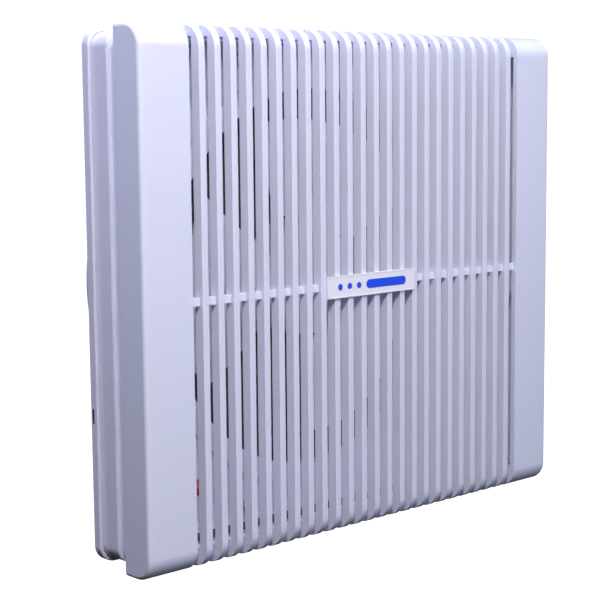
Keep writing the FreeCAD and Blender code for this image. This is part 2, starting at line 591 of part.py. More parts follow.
def make_motor():
    """The fan housing with its struts, and the fixed half of the external-rotor motor."""
    housing = new_body("fan_housing")
    rim = "sleeve_bore - 0.2"
    plate = ("shroud_rear - motor_plate_thick", "shroud_rear")
    disc(housing, rim, ("shroud_front", "shroud_rear"))
    disc(housing, rim + " - shroud_wall", ("shroud_front + shroud_wall", "shroud_rear + 1"), cut=True)
    disc(housing, "shroud_bore + shroud_wall", ("shroud_front + 1", "shroud_rear"))
    disc(housing, "shroud_bore", ("shroud_front - 1", "shroud_rear + 1"), cut=True)
    disc(housing, "motor_plate", plate)
    strut = block(housing, ("motor_plate - 3", "shroud_bore + 1"), plate, half("strut_width"))
    polar_pattern(housing, strut, "strut_count")
    disc(housing, "bearing_radius", ("hub_rear", "shroud_rear + 1"), cut=True)

    support = new_body("bearing_tube")
    disc(support, "tube_radius", ("bearing_front - 0.4", plate[0]))
    disc(support, "tube_flange", (plate[0] + " - tube_flange_thick", plate[0]))
    disc(support, "bearing_radius", ("hub_front", "shroud_rear"), cut=True)
    for label, front in (("front_bearing", "bearing_front"), ("rear_bearing", "bearing_second")):
        tube(label, "bearing_radius", "shaft_radius + shaft_gap", (front, front + " + bearing_length"))

    stack = (SIZE["stack_front"], SIZE["stack_rear"])
    deep = stack[1] - stack[0]
    tip, width, side = SIZE["pole_tip"], SIZE["pole_width"], SIZE["coil_thick"]
    inner, outer, over = SIZE["coil_inner"], SIZE["coil_outer"], SIZE["coil_over"]
    shoe_inner = tip - 2.2
    poles = int(SIZE["pole_count"])
    iron, coils = [], []
    for n in range(poles):
        stem = Part.makeBox(tip - 1.3 - 9, deep, width, Vector(9, stack[0], -width / 2))
        shoe = y_cylinder(tip, *stack).cut(y_cylinder(shoe_inner, *stack))
        shoe = shoe.common(Part.makeBox(1.2 * tip, deep, 0.8 * tip, Vector(0, stack[0], -0.4 * tip)))
        coil = Part.makeBox(outer - inner, deep + 2 * over, width + 2 * side,
                            Vector(inner, stack[0] - over, -width / 2 - side))
        coil = coil.cut(Part.makeBox(outer - inner, deep, width, Vector(inner, stack[0], -width / 2)))
        corners = [e for e in coil.Edges if along(e, "x") and abs(e.CenterOfMass.z) > width / 2 + 1]
        coil = coil.makeFillet(SIZE["coil_round"], corners)
        for item, group in ((stem, iron), (shoe, iron), (coil, coils)):
            item.rotate(Vector(0, 0, 0), Vector(0, 1, 0), n * 360.0 / poles)
            group.append(item)
    core = y_cylinder(SIZE["yoke_radius"], *stack).fuse(iron).cut(y_cylinder(SIZE["tube_radius"], *stack))
    shape_piece("stator_core", core.removeSplitter())
    shape_piece("stator_windings", Part.makeCompound(coils))
    tube("motor_board", "motor_board_radius", "tube_radius + 0.2", ("motor_board_front", "motor_board_rear"))

    screws = []
    rear = SIZE["shroud_rear"]
    shank = SIZE["motor_plate_thick"] + SIZE["tube_flange_thick"]
    count = int(SIZE["motor_screw_count"])
    for n in range(count):
        angle = math.radians(90 + 360 / count * n)
        x, z = SIZE["motor_screw_at"] * math.cos(angle), SIZE["motor_screw_at"] * math.sin(angle)
        for body in (housing, support):
            disc(body, "1.5", ("stack_rear", "shroud_rear + 1"), "%.4f" % x, "%.4f" % z, cut=True)
        screws.append(y_cylinder(2.6, rear, rear + 0.8, x, z).fuse(y_cylinder(1.4, rear - shank, rear, x, z)))
    shape_piece("motor_screws", Part.makeCompound(screws))


def make_exchanger():
    """The filter and the honeycomb core with its foam wrap."""
    tube("filter_frame", "sleeve_bore - 0.3", "sleeve_bore - filter_rim", ("filter_front", "filter_rear"))
    media = new_body("filter_media")
    disc(media, "sleeve_bore - filter_rim", ("filter_front + media_inset", "filter_rear - media_inset"))

    radius, pitch = SIZE["core_radius"], SIZE["core_pitch"]
    front, rear = SIZE["core_front"], SIZE["core_rear"]
    reach = SIZE["core_channel"]
    channels = []
    angles = [math.radians(60 * n + 30) for n in range(7)]
    corners = [Vector(reach * math.cos(angle), front - 1, reach * math.sin(angle)) for angle in angles]
    cell = Part.Face(Part.makePolygon(corners)).extrude(Vector(0, rear - front + 2, 0))
    row_pitch = pitch * math.sin(math.radians(60))
    rows = int(radius / row_pitch) + 1
    for row in range(-rows, rows + 1):
        for column in range(-rows, rows + 1):
            x = (column + 0.5 * (row % 2)) * pitch
            z = row * row_pitch
            if math.hypot(x, z) < radius - reach - SIZE["core_skin"]:
                copy = cell.copy()
                copy.translate(Vector(x, 0, z))
                channels.append(copy)
    block_shape = y_cylinder(radius, front, rear).cut(Part.makeCompound(channels))
    shape_piece("core_block", block_shape)
    tube("core_wrap", "sleeve_bore - 0.2", "core_radius", ("core_front", "core_rear"))


def flap_axis_z(number):
    """Formula of a flap's pivot height, counted from the top."""
    return "window / 2 - %d * flap_pitch - flap_axis_drop" % number


def make_shutter():
    """The rear frame, its flaps, the link bar and the actuator."""
    frame = new_body("rear_frame")
    frame_rear = "frame_front + frame_thick"
    disc(frame, "sleeve_bore - 0.3", ("frame_front", frame_rear))
    outer = half("window + 2 * collar_wall")
    block(frame, outer, (frame_rear + " - 1", "sleeve_rear"), outer)
    block(frame, half("window"), ("frame_front - 1", "sleeve_rear + 1"), half("window"), cut=True)
    wall_x = ("window / 2 - 1", "window / 2 + collar_wall + 1")
    for number in range(int(SIZE["flap_count"])):
        for low, high in (wall_x, ("-(%s)" % wall_x[1], "-(%s)" % wall_x[0])):
            rod(frame, "pivot_radius + pivot_gap", (low, high), "flap_axis_y", flap_axis_z(number), cut=True)

    link_y = "flap_axis_y - link_offset"
    lug_x = ("link_x + link_thick / 2 + lug_gap", "link_x + link_thick / 2 + lug_gap + lug_thick")
    flap_side = ("flap_axis_y - flap_thick / 2", "flap_axis_y + flap_thick / 2")
    stub = "window / 2 + collar_wall - 0.2"
    drive = "window / 2 + collar_wall + actuator_width / 2"
    for number in range(int(SIZE["flap_count"])):
        flap = new_body("shutter_flap_%d" % (number + 1))
        axis_z = flap_axis_z(number)
        top = "%s + flap_axis_drop - flap_gap" % axis_z
        block(flap, half("window - 2"), flap_side, ("%s - flap_pitch + flap_space" % top, top))
        rod(flap, "pivot_radius", ("-(%s)" % stub, drive if number == 0 else stub), "flap_axis_y", axis_z)
        # the open flap tilts past the link bar, so the bar gets a notch in the upper edge
        notch = ("link_x - link_thick / 2 - lug_gap", lug_x[0])
        notch_y = ("flap_axis_y - 2 * pivot_radius", "flap_axis_y + 2 * pivot_radius")
        block(flap, notch, notch_y, ("%s - pivot_radius / 3" % axis_z, "%s + 1" % top), cut=True)
        lug_z = ("%s - link_end" % axis_z, "%s + link_end" % axis_z)
        block(flap, lug_x, ("%s - pin_radius * 2" % link_y, "flap_axis_y"), lug_z)
        rod(flap, "pin_radius + pin_gap", ("link_x", lug_x[1] + " + 1"), link_y, axis_z, cut=True)

    link = new_body("link_bar")
    last = int(SIZE["flap_count"]) - 1
    bar_z = ("%s - link_end" % flap_axis_z(last), "%s + link_end" % flap_axis_z(0))
    bar_x = ("link_x - link_thick / 2", "link_x + link_thick / 2")
    block(link, bar_x, ("%s - link_depth / 2" % link_y, "%s + link_depth / 2" % link_y), bar_z)
    for number in range(int(SIZE["flap_count"])):
        rod(link, "pin_radius", ("link_x", lug_x[1] + " - 0.1"), link_y, flap_axis_z(number))

    actuator = new_body("shutter_actuator")
    side = ("window / 2 + collar_wall", "window / 2 + collar_wall + actuator_width")
    axis_z = flap_axis_z(0)
    block(actuator, side, (frame_rear, "sleeve_rear - 0.5"), ("%s - 6" % axis_z, "%s + 5" % axis_z))
    rod(actuator, "pivot_radius + pivot_gap", ("window / 2", drive + " + 1"), "flap_axis_y", axis_z, cut=True)


def make_controls():
    """The control box with its contents, the cable grommet and the pilot lamp."""
    back = "box_rear - casing_wall"
    back_at = SIZE["box_rear"] - SIZE["casing_wall"]
    x = ("control_left", "control_right")
    z = ("control_low", "control_high")
    tray = new_body("control_box")
    block(tray, x, ("control_front", back), z)
    inner_x = ("control_left + tray_wall", "control_right - tray_wall")
    inner_z = ("control_low + tray_wall", "control_high - tray_wall")
    block(tray, inner_x, ("control_front - 1", back + " - tray_wall"), inner_z, cut=True)
    round_grommet = (back + " - 2 * tray_wall", back + " + 1")
    disc(tray, "grommet_flange + 0.5", round_grommet, "entry_x", "entry_z", cut=True)
    lid = new_body("control_lid")
    block(lid, x, ("control_front - lid_thick", "control_front"), z)
    lid_front = SIZE["control_front"] - SIZE["lid_thick"]
    fillet(lid, "lid_thick / 2", lambda e: abs(e.BoundBox.YMax - lid_front) < 0.01)

    board = new_body("control_board")
    board_front = back + " - board_rise - board_thick"
    board_x = ("control_left + board_gap", "control_right - board_gap")
    board_z = ("control_low + board_gap", "control_low + board_gap + board_length")
    block(board, board_x, (board_front, back + " - board_rise"), board_z)
    rear = back_at - SIZE["board_rise"] - SIZE["board_thick"]
    left, low = SIZE["control_left"] + SIZE["board_gap"], SIZE["control_low"] + SIZE["board_gap"]
    supply = Part.makeBox(12, 9, 14, Vector(left + 1.5, rear - 9, low + 2))
    relay = Part.makeBox(6, 7, 8, Vector(left + 15, rear - 7, low + 3))
    large_can = y_cylinder(4, rear - 12, rear, left + 6, low + 24)
    small_can = y_cylinder(2.6, rear - 8, rear, left + 17, low + 18)
    chip = Part.makeBox(5, 1.4, 5, Vector(left + 14, rear - 1.4, low + 24))
    shape_piece("board_parts", Part.makeCompound([supply, relay, large_can, small_can, chip]))

    terminal = new_body("terminal_block")
    count = int(SIZE["terminal_count"])
    row = ("control_left + 4", "control_left + 4 + terminal_length")
    top = "control_high - terminal_drop"
    block(terminal, row, (back + " - 15", back + " - 7.5"), (top + " - terminal_height", top))
    for number in range(count):
        middle = "%s + terminal_length / %d * %g" % (row[0], count, number + 0.5)
        hole = ("terminal_hole", (back + " - 16", back + " - 12"), middle, top + " - terminal_height / 2")
        disc(terminal, *hole, cut=True)

    grommet = new_body("cable_grommet")
    disc(grommet, "grommet_flange", (back + " - 2", back), "entry_x", "entry_z")
    disc(grommet, "grommet_neck", (back + " - 0.5", "box_rear"), "entry_x", "entry_z")
    disc(grommet, "cable_bore", (back + " - 3", "box_rear + 1"), "entry_x", "entry_z", cut=True)

    holder = new_body("lamp_holder")
    disc(holder, "lamp_radius + 1.2", (back + " - lamp_base", back), "lamp_x", "lamp_z")
    lens = new_body("lamp_lens")
    disc(lens, "lamp_radius", (back + " - lamp_base - lamp_dome", back + " - lamp_base"), "lamp_x", "lamp_z")
    lens_front = back_at - SIZE["lamp_base"] - SIZE["lamp_dome"]
    fillet(lens, "3", lambda e: abs(e.BoundBox.YMax - lens_front) < 0.01)

    heads = []
    middle = (SIZE["control_left"] + SIZE["control_right"]) / 2
    for height in (SIZE["control_low"] + 4, SIZE["control_high"] - 4):
        head = y_cylinder(2.6, lid_front - 1.6, lid_front, middle, height)
        slit = Part.makeBox(5, 0.9, 0.9, Vector(middle - 2.5, lid_front - 1.8, height - 0.45))
        heads.append(head.cut(slit))
    shape_piece("lid_screws", Part.makeCompound(heads))


def check_and_write():
    """Stop on anything that failed to build, then write one file for each piece."""
    doc.recompute()
    for item in doc.Objects:
        if {"Invalid", "Error"} & set(item.State):
            raise RuntimeError("%s failed: %s" % (item.Label, item.State))
    for piece in pieces:
        if piece.Shape.isNull() or not piece.Shape.isValid():
            raise RuntimeError("bad shape: " + piece.Label)
    os.makedirs("parts", exist_ok=True)
    for piece in pieces:
        piece.Shape.exportStep(os.path.join("parts", piece.Label + ".step"))
        print("%-18s solids %2d volume %10.1f" % (piece.Label, len(piece.Shape.Solids), piece.Shape.Volume))


make_cover()
make_casing()
make_wall_side()
make_fan()
make_motor()
make_exchanger()
make_shutter()
make_controls()
check_and_write()
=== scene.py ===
"""Looks of the wall-mounted heat recovery unit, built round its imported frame.

Sizes are in metres in the part's own frame: the wall is the plane y = 0, the room side is -Y and +Z is up.
MM turns millimetres into metres.
"""

import json
import math

import bmesh
import bpy
from mathutils import Matrix, Quaternion, Vector


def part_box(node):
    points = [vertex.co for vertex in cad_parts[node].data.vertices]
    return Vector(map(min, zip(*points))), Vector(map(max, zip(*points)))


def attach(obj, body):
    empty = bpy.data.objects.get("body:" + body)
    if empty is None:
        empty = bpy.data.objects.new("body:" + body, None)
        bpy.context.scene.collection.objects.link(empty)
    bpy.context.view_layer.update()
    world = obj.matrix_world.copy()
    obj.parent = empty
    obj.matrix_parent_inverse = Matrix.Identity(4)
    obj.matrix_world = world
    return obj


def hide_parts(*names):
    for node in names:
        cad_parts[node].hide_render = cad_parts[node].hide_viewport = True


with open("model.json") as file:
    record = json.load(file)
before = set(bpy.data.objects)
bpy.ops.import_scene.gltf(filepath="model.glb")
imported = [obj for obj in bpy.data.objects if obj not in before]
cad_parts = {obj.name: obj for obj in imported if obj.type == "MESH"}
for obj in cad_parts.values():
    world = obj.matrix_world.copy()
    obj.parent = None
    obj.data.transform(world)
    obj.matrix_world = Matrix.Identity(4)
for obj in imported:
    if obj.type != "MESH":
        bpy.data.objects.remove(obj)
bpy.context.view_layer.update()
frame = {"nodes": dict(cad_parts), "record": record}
NODES = frame["nodes"]
MM = 0.001
X, Y, Z = 0, 1, 2


# ---------------------------------------------------------------- sizes, from the frame where it has them

def low(node, axis):
    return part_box(node)[0][axis]


def high(node, axis):
    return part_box(node)[1][axis]


COVER_X, COVER_Z = high("cover_frame", X), high("cover_frame", Z)
COVER_FRONT, COVER_REAR = low("cover_frame", Y), high("cover_frame", Y)
COVER_ROUND = 11.5 * MM
COVER_EDGE = 2.2 * MM
SHELL = 3 * MM
FIELD_X = high("slat_grille", X)
RAIL_REAR = high("slat_grille", Y)
RAIL_FRONT = RAIL_REAR - 2 * MM
SLAT_COUNT = 24
SLAT_WIDTH = 4 * MM
SLAT_PITCH = 10 * MM
SLAT_DEPTH = 6 * MM
SLAT_EDGE = 0.3 * MM
ARM_TOP = 6 * MM
ARM_FOOT = 9.5 * MM
TIE_HALF = 2 * MM
TIE_RECESS = 2 * MM
BOX_X, BOX_Z = high("rear_casing", X), high("rear_casing", Z)
NECK_FRONT, BOX_REAR = low("rear_casing", Y), high("rear_casing", Y)
BOX_FRONT = BOX_REAR - 16 * MM
BOX_CORNER = 8 * MM
NECK_INSET = 2 * MM
CASING_WALL = 2.5 * MM
PANEL_FRONT = BOX_REAR - CASING_WALL
PLATE_X, PLATE_Z = high("wall_plate", X), high("wall_plate", Z)
PLATE_FRONT = low("wall_plate", Y)
PLATE_WEB = 2 * MM
PLATE_CORNER = 9 * MM
SEAT_GAP = 0.1 * MM
ENTRY = (-136 * MM, -59 * MM)
ENTRY_WINDOW = 20 * MM
SLOT_HALF = 4 * MM
SLOT_Y = (-2.6 * MM, -0.5 * MM)
WALL_SCREWS = (130 * MM, 114 * MM)
CASING_SCREWS = (60 * MM, 121 * MM)
WALL_SCREW_HOLE, CASING_SCREW_HOLE = 2.75 * MM, 2 * MM
BOSS_BORE, BOSS_RADIUS, BOSS_HEIGHT, BOSS_EDGE = 2.2 * MM, 5 * MM, 7 * MM, 0.4 * MM
ENTRY_RADIUS = 4.9 * MM
MOUTH_RADIUS = 106.5 * MM
SLEEVE_OUTER = high("wall_sleeve", X)
SLEEVE_BORE = SLEEVE_OUTER - 2.4 * MM
SLEEVE_ROOT = SLEEVE_OUTER - 0.8 * MM
ROOT_REAR = 6.5 * MM
HUB_RADIUS = 33 * MM
FAN_TIP = 89.5 * MM
BLADES = 3
BLADE_ROOT = HUB_RADIUS - 3 * MM
CHORD_ROOT, CHORD_TIP = 52 * MM, 138 * MM
BLADE_RISE, BLADE_MIDDLE = 15 * MM, 10 * MM
BLADE_THICK, BLADE_THINNING = 2.6 * MM, 0.8 * MM
BLADE_CAMBER, BLADE_LEAN = 0.05, 0.15
BADGE_RIM, BADGE_RECESS = 0.7 * MM, 0.12 * MM
PEG_RADIUS = 1.8 * MM
MARK_LEFT, MARK_RIGHT, MARK_ROUND = -2 * MM, 24 * MM, 2.4 * MM
DOT_RADIUS = 1.7 * MM
DOTS = (-24 * MM, -17 * MM, -10 * MM)
LATHE_STEPS = 160
SHARP_ANGLE = math.radians(32)
CORNER_SHARE = 0.6      # how much of an inset a rounded corner's radius loses
SAME_PLACE = 1e-7       # points closer than this are one point
VIEW_AZIMUTH = -41.5    # direction of the camera from the unit, in degrees
CAMERA_PLACE = (-0.5722, -0.6206, 0.0912)


# ---------------------------------------------------------------- materials

def new_material(name):
    made = bpy.data.materials.new(name)
    made.use_nodes = True
    return made, made.node_tree, made.node_tree.nodes["Principled BSDF"]


def coordinates(tree, stretch=(1, 1, 1)):
    """Object coordinates, stretched where a pattern has a direction."""
    place = tree.nodes.new("ShaderNodeTexCoord")
    mapping = tree.nodes.new("ShaderNodeMapping")
    mapping.inputs["Scale"].default_value = stretch
    tree.links.new(place.outputs["Object"], mapping.inputs["Vector"])
    return mapping.outputs["Vector"]


def noise(tree, scale, detail=3.0, stretch=(1, 1, 1)):
    made = tree.nodes.new("ShaderNodeTexNoise")
    made.inputs["Scale"].default_value = scale
    made.inputs["Detail"].default_value = detail
    tree.links.new(coordinates(tree, stretch), made.inputs["Vector"])
    return made.outputs["Fac"]


def cells(tree, scale):
    made = tree.nodes.new("ShaderNodeTexVoronoi")
    made.inputs["Scale"].default_value = scale
    tree.links.new(coordinates(tree), made.inputs["Vector"])
    return made.outputs["Distance"]


def stripes(tree, scale, axis, distortion=0.0):
    made = tree.nodes.new("ShaderNodeTexWave")
    made.bands_direction = axis
    made.inputs["Scale"].default_value = scale
    made.inputs["Distortion"].default_value = distortion
    tree.links.new(coordinates(tree), made.inputs["Vector"])
    return made.outputs["Fac"]


def tint(tree, shader, pattern, first, second):
    """Blend the base colour between two colours."""
    mix = tree.nodes.new("ShaderNodeMix")
    mix.data_type = "RGBA"
    mix.inputs["A"].default_value = (*first, 1)
    mix.inputs["B"].default_value = (*second, 1)
    tree.links.new(pattern, mix.inputs["Factor"])
    tree.links.new(mix.outputs["Result"], shader.inputs["Base Color"])


def gloss(tree, shader, pattern, least, most):
    """Let the roughness drift between two values."""
    spread = tree.nodes.new("ShaderNodeMapRange")
    spread.inputs["To Min"].default_value = least
    spread.inputs["To Max"].default_value = most
    tree.links.new(pattern, spread.inputs["Value"])
    tree.links.new(spread.outputs["Result"], shader.inputs["Roughness"])


def relief(tree, shader, pattern, height, strength=1.0):
    bump = tree.nodes.new("ShaderNodeBump")
    bump.inputs["Strength"].default_value = strength
    bump.inputs["Distance"].default_value = height
    tree.links.new(pattern, bump.inputs["Height"])
    tree.links.new(bump.outputs["Normal"], shader.inputs["Normal"])


def shade(colour, factor):
    return tuple(min(1.0, part * factor) for part in colour)


def gloss_plastic(name, colour, roughness=0.3, coat=0.25):
    """Glossy injection-moulded plastic with faint flow marks and a fine polish grain."""
    made, tree, shader = new_material(name)
    tint(tree, shader, noise(tree, 14, 4), shade(colour, 0.975), shade(colour, 1.02))
    gloss(tree, shader, noise(tree, 60, 5), roughness - 0.05, roughness + 0.07)
    relief(tree, shader, noise(tree, 1400, 2), 0.005 * MM, 0.5)
    shader.inputs["Coat Weight"].default_value = coat
    shader.inputs["Coat Roughness"].default_value = 0.18
    return made


def satin_plastic(name, colour, roughness=0.55, grain=0.04):
    """Moulded plastic with a spark-eroded grain."""
    made, tree, shader = new_material(name)
    tint(tree, shader, noise(tree, 22, 5), shade(colour, 0.94), shade(colour, 1.04))
    gloss(tree, shader, noise(tree, 180, 4), roughness - 0.07, roughness + 0.08)
    relief(tree, shader, noise(tree, 1900, 3), grain * MM)
    return made


def foam(name, colour):
    """Closed-cell foam: small pits on a matt skin."""
    made, tree, shader = new_material(name)
    pits = cells(tree, 900)
    tint(tree, shader, pits, shade(colour, 0.45), shade(colour, 1.5))
    gloss(tree, shader, pits, 0.78, 0.95)
    relief(tree, shader, pits, 0.25 * MM)
    return made


def rubber(name, colour):
    """Moulded rubber with a dusty bloom."""
    made, tree, shader = new_material(name)
    tint(tree, shader, noise(tree, 120, 6), shade(colour, 0.8), shade(colour, 1.6))
    gloss(tree, shader, noise(tree, 300, 3), 0.6, 0.85)
    relief(tree, shader, noise(tree, 1500, 4), 0.05 * MM)
    return made


def plated_steel(name, colour):
    """Zinc-plated or turned steel with fine lines and cloudy patches."""
    made, tree, shader = new_material(name)
    tint(tree, shader, noise(tree, 70, 6), shade(colour, 0.82), shade(colour, 1.12))
    gloss(tree, shader, noise(tree, 260, 3, (1, 14, 1)), 0.22, 0.42)
    relief(tree, shader, noise(tree, 800, 2, (1, 9, 1)), 0.01 * MM)
    shader.inputs["Metallic"].default_value = 1.0
    return made


def ferrite(name, colour):
    """Sintered magnet: dark, with a granular face."""
    made, tree, shader = new_material(name)
    grains = noise(tree, 1100, 8)
    tint(tree, shader, grains, shade(colour, 0.6), shade(colour, 1.5))
    gloss(tree, shader, grains, 0.5, 0.75)
    relief(tree, shader, grains, 0.06 * MM)
    return made


def laminations(name, colour):
    """Stacked electrical sheet: one line for each layer of the stack."""
    made, tree, shader = new_material(name)
    layers = stripes(tree, 320, "Y")
    tint(tree, shader, layers, shade(colour, 0.55), shade(colour, 1.15))
    gloss(tree, shader, noise(tree, 400, 4), 0.35, 0.6)
    relief(tree, shader, layers, 0.08 * MM)
    shader.inputs["Metallic"].default_value = 1.0
    return made


def wound_wire(name, colour):
    """Enamelled copper wire: close turns with a clear coat."""
    made, tree, shader = new_material(name)
    turns = stripes(tree, 420, "DIAGONAL", 0.6)
    tint(tree, shader, turns, shade(colour, 0.45), shade(colour, 1.25))
    gloss(tree, shader, noise(tree, 300, 3), 0.22, 0.4)
    relief(tree, shader, turns, 0.2 * MM)
    shader.inputs["Metallic"].default_value = 1.0
    shader.inputs["Coat Weight"].default_value = 0.6
    return made


def circuit_board(name, colour):
    """Solder mask over copper tracks."""
    made, tree, shader = new_material(name)
    tracks = tree.nodes.new("ShaderNodeTexBrick")
    tracks.inputs["Scale"].default_value = 160
    tracks.inputs["Mortar Size"].default_value = 0.04
    tracks.inputs["Color1"].default_value = (*shade(colour, 0.8), 1)
    tracks.inputs["Color2"].default_value = (*shade(colour, 1.15), 1)
    tracks.inputs["Mortar"].default_value = (*shade(colour, 2.1), 1)
    tree.links.new(coordinates(tree), tracks.inputs["Vector"])
    tree.links.new(tracks.outputs["Color"], shader.inputs["Base Color"])
    gloss(tree, shader, noise(tree, 200, 4), 0.25, 0.42)
    relief(tree, shader, tracks.outputs["Fac"], 0.05 * MM)
    return made


def non_woven(name, colour):
    """Filter medium: tangled fibres in two directions."""
    made, tree, shader = new_material(name)
    fibres = noise(tree, 420, 9, (1, 1, 5))
    tint(tree, shader, fibres, shade(colour, 0.35), shade(colour, 1.7))
    gloss(tree, shader, noise(tree, 90, 4), 0.85, 1.0)
    relief(tree, shader, fibres, 0.5 * MM)
    shader.inputs["Sheen Weight"].default_value = 0.2
    return made


def fired_ceramic(name, colour):
    """Extruded ceramic: chalky, with iron specks and extrusion lines."""
    made, tree, shader = new_material(name)
    tint(tree, shader, noise(tree, 240, 9), shade(colour, 0.78), shade(colour, 1.12))
    gloss(tree, shader, noise(tree, 500, 5), 0.75, 0.95)
    relief(tree, shader, noise(tree, 700, 5, (1, 0.1, 1)), 0.06 * MM)
    return made


def clear_lens(name, colour):
    """Tinted lens with a faceted inside."""
    made, tree, shader = new_material(name)
    facets = cells(tree, 700)
    tint(tree, shader, facets, shade(colour, 0.6), shade(colour, 1.2))
    gloss(tree, shader, noise(tree, 300, 3), 0.06, 0.16)
    relief(tree, shader, facets, 0.05 * MM)
    shader.inputs["Transmission Weight"].default_value = 0.25
    shader.inputs["Coat Weight"].default_value = 1.0
    return made


def studio_paper(name, colour):
    """Seamless background paper."""
    made, tree, shader = new_material(name)
    tint(tree, shader, noise(tree, 3, 2), shade(colour, 0.995), colour)
    gloss(tree, shader, noise(tree, 40, 3), 0.9, 1.0)
    shader.inputs["Emission Color"].default_value = (1.0, 1.0, 1.0, 1)
    shader.inputs["Emission Strength"].default_value = 0.97
    return made


MATERIALS = {
    "cover_white": gloss_plastic("cover_white", (0.72, 0.76, 0.92)),
    "casing_white": gloss_plastic("casing_white", (0.72, 0.75, 0.90), 0.34),
    "badge_white": gloss_plastic("badge_white", (0.88, 0.89, 0.98), 0.2),
    "badge_blue": gloss_plastic("badge_blue", (0.025, 0.09, 0.84), 0.3, 0.1),
    "fan_white": satin_plastic("fan_white", (0.80, 0.80, 0.85), 0.42),
    # housing_grey is near black: partly the shroud's dark plastic, partly painted shade for the unlit depth
    # behind the round opening.
    "housing_grey": satin_plastic("housing_grey", (0.012, 0.013, 0.024)),
    "sleeve_white": satin_plastic("sleeve_white", (0.70, 0.71, 0.76)),
    "foam_black": foam("foam_black", (0.045, 0.045, 0.07)),
    "grommet_rubber": rubber("grommet_rubber", (0.02, 0.02, 0.02)),
    "steel": plated_steel("steel", (0.62, 0.63, 0.65)),
    "magnet": ferrite("magnet", (0.06, 0.06, 0.065)),
    "laminations": laminations("laminations", (0.42, 0.43, 0.45)),
    "copper": wound_wire("copper", (0.72, 0.27, 0.09)),
    "brass": plated_steel("brass", (0.78, 0.58, 0.26)),
    "board_green": circuit_board("board_green", (0.02, 0.14, 0.05)),
    "component_black": satin_plastic("component_black", (0.025, 0.025, 0.03), 0.5),
    "filter_grey": non_woven("filter_grey", (0.05, 0.05, 0.06)),
    "core_ceramic": fired_ceramic("core_ceramic", (0.62, 0.54, 0.42)),
    "control_grey": satin_plastic("control_grey", (0.50, 0.52, 0.56), 0.5),
    "terminal_white": satin_plastic("terminal_white", (0.78, 0.76, 0.70), 0.5),
    "lamp_red": clear_lens("lamp_red", (0.85, 0.02, 0.03)),
}


# ---------------------------------------------------------------- mesh helpers

def new_mesh_object(name, shape):
    """Turn a bmesh into an object with smooth faces and sharp corners."""
    bmesh.ops.remove_doubles(shape, verts=shape.verts, dist=SAME_PLACE)
    bmesh.ops.recalc_face_normals(shape, faces=shape.faces)
    mesh = bpy.data.meshes.new(name)
    shape.to_mesh(mesh)
    shape.free()
    mesh.polygons.foreach_set("use_smooth", [True] * len(mesh.polygons))
    mesh.set_sharp_from_angle(angle=SHARP_ANGLE)
    made = bpy.data.objects.new(name, mesh)
    bpy.context.collection.objects.link(made)
    return made


def from_rings(name, rings, closed=False):
    """Skin a row of rings that have equal counts. Open rows get end caps, closed ones join up."""
    shape = bmesh.new()
    rows = [[shape.verts.new(point) for point in ring] for ring in rings]
    pairs = list(zip(rows, rows[1:])) + ([(rows[-1], rows[0])] if closed else [])
    for first, second in pairs:
        for n in range(len(first)):
            after = (n + 1) % len(first)
            shape.faces.new((first[n], first[after], second[after], second[n]))
    if not closed:
        shape.faces.new(rows[0])
        shape.faces.new(rows[-1])
    return new_mesh_object(name, shape)


def prism(name, outline, axis, start, end):
    """A straight piece with one outline, given in the two other axes."""
    others = [n for n in (X, Y, Z) if n != axis]
    rings = []
    for along in (start, end):
        ring = []
        for point in outline:
            place = [0.0, 0.0, 0.0]
            place[axis] = along
            place[others[0]], place[others[1]] = point
            ring.append(place)
        rings.append(ring)
    return from_rings(name, rings)


def block(name, x, y, z):
    """A rectangular prism between (low, high) pairs."""
    outline = [(x[0], y[0]), (x[1], y[0]), (x[1], y[1]), (x[0], y[1])]
    return prism(name, outline, Z, *z)


def circle(radius, steps=48, x=0.0, z=0.0):
    angles = [2 * math.pi * n / steps for n in range(steps)]
    return [(x + radius * math.cos(angle), z + radius * math.sin(angle)) for angle in angles]


def arc(x, z, radius, start, end, steps=12):
    """Points of an arc, its angles in degrees."""
    angles = [math.radians(start + (end - start) * n / steps) for n in range(steps + 1)]
    return [(x + radius * math.cos(angle), z + radius * math.sin(angle)) for angle in angles]


def rounded_rectangle(half_x, half_z, radius, steps=10):
    points = []
    for x, z, start in ((1, 1, 0), (-1, 1, 90), (-1, -1, 180), (1, -1, 270)):
        points += arc(x * (half_x - radius), z * (half_z - radius), radius, start, start + 90, steps)
    return points


def sweep_frame(name, half_x, half_z, radius, section):
    """A closed section of (inset, y) points, swept round a rounded rectangle."""
    rings = []
    for inset, y in section:
        outline = rounded_rectangle(half_x - inset, half_z - inset, radius - CORNER_SHARE * inset)
        rings.append([(x, y, z) for x, z in outline])
    return from_rings(name, rings, closed=True)


def lathe(name, profile, steps=LATHE_STEPS, x=0.0, z=0.0):
    """A closed profile of (radius, y) points, turned about an axis along Y."""
    rings = []
    for n in range(steps):
        angle = 2 * math.pi * n / steps
        rings.append([(x + r * math.cos(angle), y, z + r * math.sin(angle)) for r, y in profile])
    return from_rings(name, rings, closed=True)


def round_ends(obj, axis, radius, segments, chosen=lambda edge: True):
    """Round the outline of a prism at both of its ends."""
    shape = bmesh.new()
    shape.from_mesh(obj.data)
    places = [v.co[axis] for v in shape.verts]
    ends = (min(places), max(places))
    found = []
    for edge in shape.edges:
        first, second = (v.co[axis] for v in edge.verts)
        level = abs(first - second) < SAME_PLACE
        if level and min(abs(first - end) for end in ends) < SAME_PLACE and chosen(edge):
            found.append(edge)
    bmesh.ops.bevel(shape, geom=found, offset=radius, segments=segments, profile=0.5, affect="EDGES",
                    clamp_overlap=True)
    old = obj.data
    name = obj.name
    bpy.data.objects.remove(obj)
    bpy.data.meshes.remove(old)
    return new_mesh_object(name, shape)


def apply_modifiers(obj):
    evaluated = obj.evaluated_get(bpy.context.evaluated_depsgraph_get())
    mesh = bpy.data.meshes.new_from_object(evaluated)
    obj.modifiers.clear()
    obj.data = mesh


